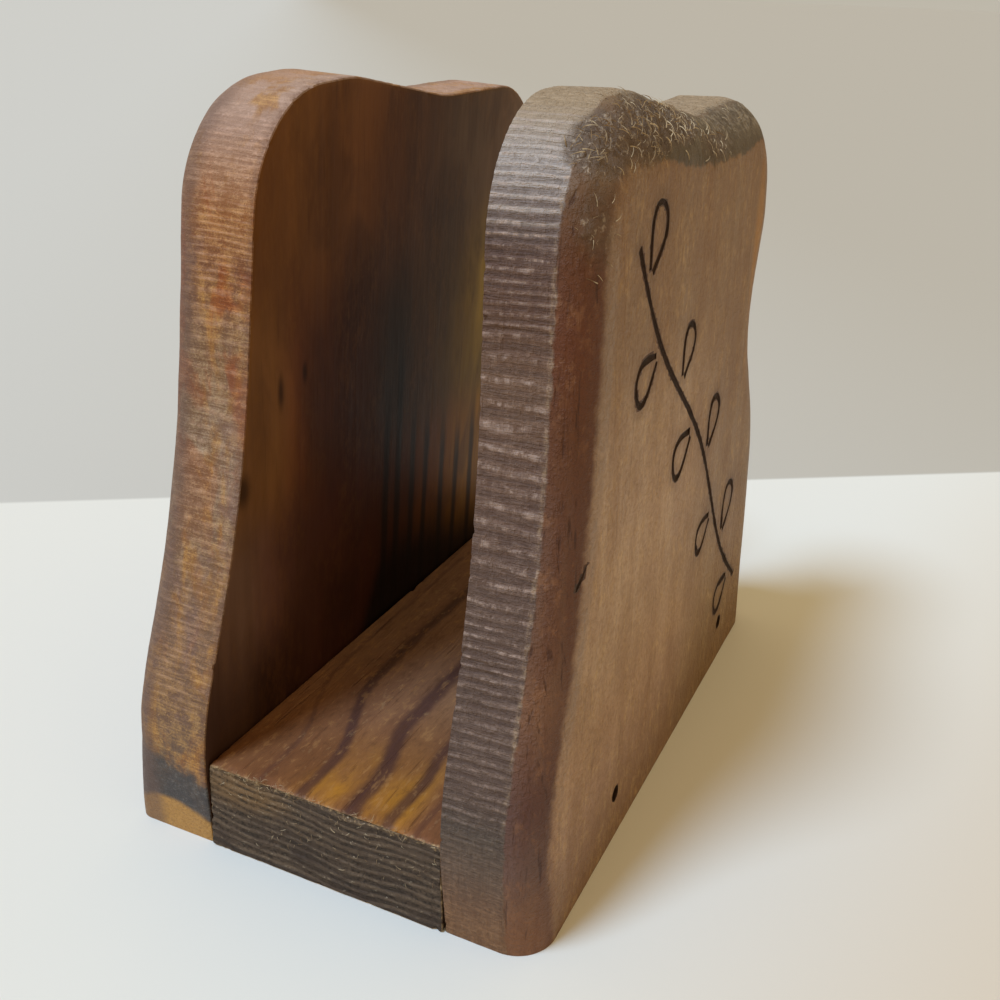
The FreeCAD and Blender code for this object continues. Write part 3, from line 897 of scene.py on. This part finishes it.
wood = coats(lower,
    ((height + drift * 2).rise(56, 72), middle),
    ((height + drift * 2).rise(94, 118), upper),
    # painted shade: darker towards the foot, darkest low near the front
    (height.fall(26, 50) * 0.35, (50, 26, 22)),
    (height.fall(26, 46) * shaded, (30, 17, 17)),
    (gloom * 0.42, (52, 33, 27)),
    (clouds * 0.3, (58, 34, 24)),
    (flecks * clouds * 0.2, (150, 108, 68)),
    (streaks * 0.30, (56, 36, 26)),
    (blue * 0.55, (38, 37, 38)),
    (dark_foot * 0.4, (46, 32, 25)))
bent = depth + drift * 0.5
# Dark vertical stripes: painted shade of grooves where the soft grain burnt away, which the mesh
# does not carve.
for centre, bottom, top_end in ((-6.5, 20, 66), (-1, 30, 76), (6, 28, 60), (12.6, 22, 57),
        (21.6, 20, 52), (29.5, 22, 48), (38.5, 20, 50)):
    stripe = bent.line(centre, 0.5, 1.6) * height.rise(bottom - 16, bottom) \
        * height.fall(top_end, top_end + 16)
    wood = over(wood, stripe * 0.85, (24, 15, 12))
black_foot = (height + drift * 0.8 + depth.rise(0, 40) * 9).fall(30, 43) \
    * (depth - height * 0.5).rise(-29, -23)
wood = coats(wood,
    (black_foot * 0.92, (14, 10, 11)),
    (pores * 0.2, (44, 28, 20)))
for spot, size in (((-24, -47, 88.8), (6, 0.9, 3.0)), ((-24, -39, 90.6), (6, 0.8, 2.0)),
        ((-24, -59.5, 73), (6, 2.2, 3.0))):
    nick, = use(stain, place, spot, size, 0.7, 0.25, 18)
    wood = over(wood, nick * 0.7, (26, 16, 13))
wood_surface(wood, fibre * 0.06 + 0.42, streaks * 0.2 + fibre * 0.08 + clouds * 0.3, 0.12,
    gloss=0.12)

left_board = side_board("left_board", LEFT, LEFT_HUMPS, (3.0, 6.0, 5.0), (3.0, 8.0, 10.5), 8)
mark(left_board, "frayed", (((-40, 30, 138), (6, 30, 5), 0.25),))
grow(left_board, weathered_pine, grain=(1.0, 1.0, 0.03), ridge_pitch=RIDGE_PITCH * 0.8,
    ridge_depth=0.20, smooth_foot=24.0, grain_depth=0.03, fray_depth=0.6, chip_depth=0.4,
    seed=LEFT_SEED, outside=left_outside, inside=left_inside)
for nail_depth in NAIL_DEPTHS:
    cut_away(left_board, nail_bore(LEFT, nail_depth, HOLE, charred))
finish_mesh(left_board)
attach(left_board, "root")
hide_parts("left_side")

# --------------------
# Base board. The same pine laid flat with its grain running back, its long edges bevelled
# to meet the leaning sides. Its ends are rough sawn, and splinters stand on the arris.

BASE_TOP, BASE_FRONT, BASE_REAR, EASED = 20.0, -73.2, 73.4, 0.8
END_PITCH = 1.9


def base_block(name):
    """The base as a closed mesh of six grids with eased edges."""
    eases = (0, 0.15, 0.4, 0.8)
    lines = []
    for low, high, step in ((-HALF_GAP, HALF_GAP, 0.8), (BASE_FRONT, BASE_REAR, 0.9),
            (0, BASE_TOP, 0.36)):
        inner = np.linspace(low + EASED, high - EASED, int((high - low) / step))
        lines.append(np.r_[[low + ease for ease in eases[:-1]], inner,
             [high - ease for ease in eases[-2::-1]]])
    low = np.array([line[0] for line in lines])
    high = np.array([line[-1] for line in lines])
    patches = []
    for axis in range(3):
        others = [other for other in range(3) if other != axis]
        first, second = np.meshgrid(lines[others[0]], lines[others[1]], indexing="ij")
        for end in (low[axis], high[axis]):
            grid = np.zeros(first.shape + (3,))
            grid[..., others[0]], grid[..., others[1]] = first, second
            grid[..., axis] = end
            core = np.clip(grid, low + EASED, high - EASED)
            arm = grid - core
            length = norm(arm, axis=-1, keepdims=True)
            grid = core + arm / length * EASED
            grid[..., 0] *= 1 - grid[..., 2] / HALF_GAP * tan(LEAN)
            to_rim = np.minimum(np.minimum(first - low[others[0]], high[others[0]] - first),
                np.minimum(second - low[others[1]], high[others[1]] - second))
            girth = np.minimum(to_rim, 6.0) if axis == 1 else -to_rim
            wave = 1.0 * np.sin(grid[..., 0] / 13 + 1) + 0.35 * np.sin(grid[..., 0] / 3.7) \
                + 0.14 * np.sin(grid[..., 0] / 1.6 + grid[..., 2] / 1.1)
            patches.append((grid, np.stack([grid[..., 2] + wave + 70, girth, to_rim], axis=-1)))
    return mesh_of_patches(name, patches)


base_top, place = wood_material("base_top_wood")
across, depth, _ = place.parts()
streaks, fibre, pores = use(long_grain, place.times((1, 0.05, 1)), 21)
blotches, specks = use(mottle, place.times((1, 0.5, 1)), 0.11, 22)
wander = (place.times((0.3, 1, 1)).noise(9, 3, 0.6, 0.2, 23) - 0.5) * 2.4
grime = place.times((1, 0.4, 1)).noise(1.8, 4, 0.7, 0.3, 55)
# painted light: a golden pool at the front of the top, where the key light falls between the
# boards
front_light_pool = depth.fall(-68, -44) * across.rise(-13, -2) * across.fall(14, 20)
wood = coats((146, 106, 78),
    (streaks * 0.55, (116, 78, 58)),
    (across.rise(-2, 8) * 0.5, (136, 96, 62)),
    (across.rise(15, 20) * 0.6, (116, 78, 60)),
    (blotches.away() * (specks * 0.5 + 0.5) * 0.4, (98, 62, 42)),
    # painted light pool at the front
    ((blotches * 0.6 + 0.15) * front_light_pool, (184, 132, 66)),
    # painted shadow of the left board, darker at the front left
    (depth.fall(-64, -46) * across.fall(-8, 2) * 0.5, (98, 64, 44)),
    (depth.rise(-60, -15) * 0.5, (134, 110, 94)))
bent = across + wander
front_band = depth.rise(-64, -30) * -8.2 - 4.4
middle_band = depth.rise(-64, -44) * -4 + 6.2
rear_band = depth.rise(-60, -48) * -1 + 14.2
for centre, width, amount in ((front_band, 1.1, 0.8), (middle_band, 1.6, 0.9),
        (rear_band, 1.2, 0.85), (front_band - 9.5, 0.5, 0.4),
        (rear_band + 6.0, 0.6, 0.45)):
    band = bent.line(centre, width * 0.4, width * 1.3)
    soft_side = (bent + width).line(centre, width * 0.4, width * 2.6)
    wood = over(wood, soft_side * amount * 0.3, (92, 60, 48))
    wood = over(wood, band * amount * (streaks * 0.3 + 0.7), (68, 46, 45))
pale_arris = (depth + place.noise(2, 3, 0.6, 0, 24) * 2.6).fall(-72, -70.8)
wood = coats(wood,
    (pores * 0.45, (84, 54, 40)),
    (grime.rise(0.5, 0.66) * 0.34, (80, 54, 40)),
    (grime.fall(0.34, 0.46) * 0.3, (182, 140, 98)),
    ((specks * streaks).rise(0.5, 0.95) * 0.25, (188, 158, 120)),
    (across.maths("ABSOLUTE").rise(25.2, 25.7) * 0.9, (30, 22, 18)),
    (pale_arris * (specks + 0.2) * 0.8, (206, 180, 140)))
wood_surface(wood, streaks * 0.2 + 0.4, streaks * 0.4 + fibre * 0.4 - pores * 0.5, 0.25)

base_end, place = wood_material("base_end_wood")
along, girth, _ = attribute(place, "run", "Vector").parts()
height = place.parts()[2]
crests, scratches = use(saw_lines, along, girth, END_PITCH, BASE_SEED)
blotches, specks = use(mottle, place, 0.25, 25)
clouds, flecks = use(mottle, place.times((1, 1, 1.4)), 0.09, 26)
golden, = use(stain, place, (-18, -73, 16), (9, 8, 4), 0.6, 0.3, 27)
wood = coats((74, 61, 51),
    (blotches * 0.5, (96, 81, 66)),
    (clouds * 0.3, (104, 88, 72)),
    (golden * 0.4, (146, 114, 76)),
    # painted shade in the hollows between the saw crests
    (crests.fall(0.02, 0.3) * (blotches * 0.5 + specks * 0.4 + 0.1), (30, 24, 20)),
    ((clouds * specks).rise(0.25, 0.7) * 0.5, (44, 36, 31)),
    # painted highlight on the saw crests
    (crests.rise(0.2, 1) * specks * flecks, (150, 134, 114)),
    ((specks * blotches).rise(0.7, 0.95) * 0.6, (186, 174, 156)),
    (clouds.away() * height.fall(8, 16) * 0.5, (46, 37, 32)),
    # painted contact shade along the bottom edge, where the base sits on the cloth
    (height.fall(0.4, 1.8) * 0.6, (60, 48, 40)),
    ((height + flecks * 1.6).rise(19, 20.4) * specks * 0.9, (186, 160, 124)))
wood_surface(wood, specks * 0.2 + 0.6, crests * 0.6 + specks * 0.4 + scratches * 0.4, 0.3)

base = base_block("base")
mark(base, "frayed", (((-12, BASE_FRONT, BASE_TOP), (16, 1.6, 1.6), 0.9),
     ((12, BASE_FRONT, BASE_TOP), (14, 1.6, 1.6), 0.9),
     ((0, BASE_FRONT, 12), (40, 3, 10), 0.35)))
grow(base, weathered_pine, grain=(1.0, 0.03, 1.0), ridge_pitch=END_PITCH, ridge_depth=0.38,
    smooth_foot=0.0, grain_depth=0.12, fray_depth=0.8, chip_depth=0.5, seed=BASE_SEED,
    outside=base_end, inside=base_top)
PILOT = ((2, SHANK_BORE), (-20.65, SHANK_BORE))
for facing in (RIGHT, LEFT):
    for nail_depth in NAIL_DEPTHS:
        cut_away(base, nail_bore(facing, nail_depth, PILOT, torn_wood))
base_fibres = in_scene("base_fibres", base.data.copy())
grow(base_fibres, torn_fibres, per_square_metre=1.1e6, length=1.3 * MM, seed=9, material=torn_wood)
finish_mesh(base_fibres)
finish_mesh(base)
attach(base, "root")
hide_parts("base_board")
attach(base_fibres, "root")

# --------------------
# Nails. Four finishing nails of bright steel wire, punched below the face of the sides.

nail_steel, shader, place = new_material("nail_steel")
tarnish, grime = use(mottle, place.times(IN_MM), 0.9, 31)
feed(shader, {"Base Color": over((120, 114, 108), tarnish * 0.6, (74, 62, 54)),
     "Metallic": 1.0, "Roughness": grime * 0.3 + 0.35})
for nail in ("nail_left_front", "nail_left_rear", "nail_right_front", "nail_right_rear"):
    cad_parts[nail].data.materials.clear()
    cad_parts[nail].data.materials.append(nail_steel)

# --------------------
# The stage: a pale cloth with a grey wall behind it, soft light from the upper left, and
# the camera a little above the right board's front.

AIM_TURN, AIM_DROP, ROLL = radians(24.196), radians(24.169), radians(2.3)
back = Vector((sin(AIM_TURN) * cos(AIM_DROP), -cos(AIM_TURN) * cos(AIM_DROP), sin(AIM_DROP)))
level = (-back).cross(Vector((0, 0, 1))).normalized()
upright = level.cross(-back)
sideways = cos(ROLL) * level + sin(ROLL) * upright
upwards = cos(ROLL) * upright - sin(ROLL) * level
camera_data = bpy.data.cameras.new("camera")
camera_data.lens = 41.19
camera_data.sensor_width = 36
camera_data.clip_start = 0.01
camera = in_scene("camera", camera_data)
camera.matrix_world = Matrix.Translation((0.0985, -0.2157, 0.1599)) @ Matrix(
    (sideways, upwards, back)).transposed().to_4x4()
bpy.context.scene.camera = camera

cloth, shader, place = new_material("cloth")
across, depth, _ = place.parts()
beyond = across * -0.564 + depth * 0.826
wall = beyond.rise(0.1265, 0.1290)
# painted light: the wall darker and warmer towards the right, where the light falls off
side = (across * 0.826 + depth * 0.564).rise(-0.3, 0.4)
stage_colour = coats((232, 233, 227),
    # painted light: the cloth warmer and darker towards the right, where the light falls off
    ((across - depth * 0.2).rise(0.02, 0.20), (214, 195, 167)),
    (wall, (206, 207, 203)),
    (wall * side, (186, 180, 167)))
feed(shader, {"Roughness": 0.9, "Base Color": stage_colour})
floor_mesh = bpy.data.meshes.new("floor")
floor_mesh.from_pydata([(-40, -40, 0), (40, -40, 0), (40, 40, 0), (-40, 40, 0)], [],
    [(0, 1, 2, 3)])
floor_mesh.materials.append(cloth)
floor = in_scene("floor", floor_mesh)

world = bpy.data.worlds.new("studio")
bpy.context.scene.world = world
world.use_nodes = True
tree = world.node_tree
seen = add(tree, "ShaderNodeLightPath", output="Is Camera Ray")
feed(tree.nodes["Background"],
    {"Color": over((0.60, 0.45, 0.25, 1.0), seen, (190, 184, 170)), "Strength": 1.0})
lamp_data = bpy.data.lights.new("key", "SUN")
lamp_data.color = (0.533, 0.733, 1.0)
lamp_data.energy = 2.727
lamp_data.angle = radians(17)
lamp = in_scene("key", lamp_data)
lamp.rotation_mode = "QUATERNION"
lamp.rotation_quaternion = Vector((-47, -70, 145)).to_track_quat("Z", "Y")

bpy.context.scene.view_settings.view_transform = "Standard"
